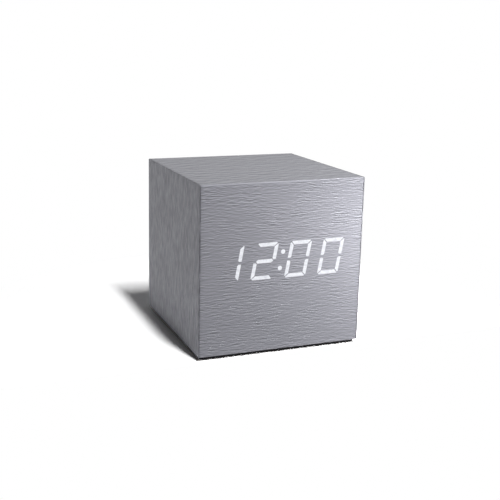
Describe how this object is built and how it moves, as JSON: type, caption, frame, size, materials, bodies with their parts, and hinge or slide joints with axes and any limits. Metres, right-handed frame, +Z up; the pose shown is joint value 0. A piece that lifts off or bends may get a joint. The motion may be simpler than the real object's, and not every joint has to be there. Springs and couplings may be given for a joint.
{
  "type": "cube led clock",
  "caption": "Small cube desk clock: silver brushed-look case on a black base, white lit digits showing through the front, push buttons and power socket at the rear, battery bay below.",
  "frame": {"origin": "on the surface that the clock stands on, under the middle of its base", "axes": "+X to the right along the front, +Y from the front to the rear, +Z up"},
  "size_m": [0.068, 0.068, 0.068],
  "materials": {
    "fibreboard": "raw",
    "pine": "raw",
    "silver_film": "brushed silver film, grain across",
    "silver_film_side": "brushed silver film, grain upright",
    "black_plastic": "fine texture",
    "plated_steel": "zinc plated",
    "foot_rubber": "matte",
    "cell_wrap": "printed sleeve",
    "spring_steel": "nickel plated",
    "nickel": "nickel plated",
    "black_lead": "satin",
    "red_lead": "satin",
    "display_black": "matte",
    "segment_dark": "diffusing resin",
    "segment_lit": "diffusing resin, lit",
    "led_yellow": "resin",
    "green_board": "solder mask",
    "nylon": "natural",
    "chip_black": "moulded",
    "ribbon_grey": "satin",
    "gloss_black": "smooth",
    "can_metal": "bright",
    "can_sleeve": "sleeved can",
    "thermistor_resin": "resin",
    "button_black": "satin",
    "plunger_black": "smooth"
  },
  "bodies": {
    "case": {"base_plate": "black_plastic", "base_screws": "plated_steel", "battery_cell_1": "cell_wrap", "battery_cell_2": "cell_wrap", "battery_cell_3": "cell_wrap", "button_bezel": "black_plastic", "buzzer": "gloss_black", "capacitors": "can_sleeve", "clock_chip": "chip_black", "colon_lights": "segment_lit", "contact_plates": "nickel", "contact_springs": "spring_steel", "control_board": "green_board", "control_connector": "nylon", "control_resistors": "chip_black", "control_screws": "plated_steel", "control_spacers": "nylon", "corner_blocks": "pine", "crystal": "can_metal", "digit_1_lights": "segment_lit", "digit_2_lights": "segment_lit", "digit_3_lights": "segment_lit", "digit_4_lights": "segment_lit", "display_board": "green_board", "display_connector": "nylon", "display_driver": "chip_black", "display_housing": "display_black", "display_resistors": "chip_black", "display_screws": "plated_steel", "display_spacers": "nylon", "front_board": "fibreboard", "lead_black": "black_lead", "lead_red": "red_lead", "led_chips": "led_yellow", "left_board": "fibreboard", "left_film": "silver_film_side", "microphone": "can_metal", "microphone_boot": "foot_rubber", "power_socket": "gloss_black", "rear_board": "fibreboard", "ribbon_cable": "ribbon_grey", "right_board": "fibreboard", "right_film": "silver_film_side", "rubber_feet": "foot_rubber", "socket_contacts": "nickel", "socket_leads": "black_lead", "socket_nut": "plated_steel", "tact_switches": "gloss_black", "thermistor": "thermistor_resin", "top_board": "fibreboard", "unlit_segments": "segment_dark", "wrap_film": "silver_film"},
    "lid": {"battery_lid": "black_plastic"},
    "set_key": {"set_button": "button_black", "set_plunger": "plunger_black"},
    "up_key": {"up_button": "button_black", "up_plunger": "plunger_black"},
    "down_key": {"down_button": "button_black", "down_plunger": "plunger_black"}
  },
  "joints": [
    {"name": "lid_hinge", "type": "hinge", "parent": "case", "child": "lid", "pos_m": [0, -0.0176, 0.0003], "axis": [-1, 0, 0], "range_deg": [0, 75]},
    {"name": "set_press", "type": "slide", "parent": "case", "child": "set_key", "axis": [0, -1, 0], "range_m": [0, 0.0005], "stiffness_N_per_m": 2600, "springref_m": -0.0001},
    {"name": "up_press", "type": "slide", "parent": "case", "child": "up_key", "axis": [0, -1, 0], "range_m": [0, 0.0005], "stiffness_N_per_m": 2600, "springref_m": -0.0001},
    {"name": "down_press", "type": "slide", "parent": "case", "child": "down_key", "axis": [0, -1, 0], "range_m": [0, 0.0005], "stiffness_N_per_m": 2600, "springref_m": -0.0001}
  ]
}
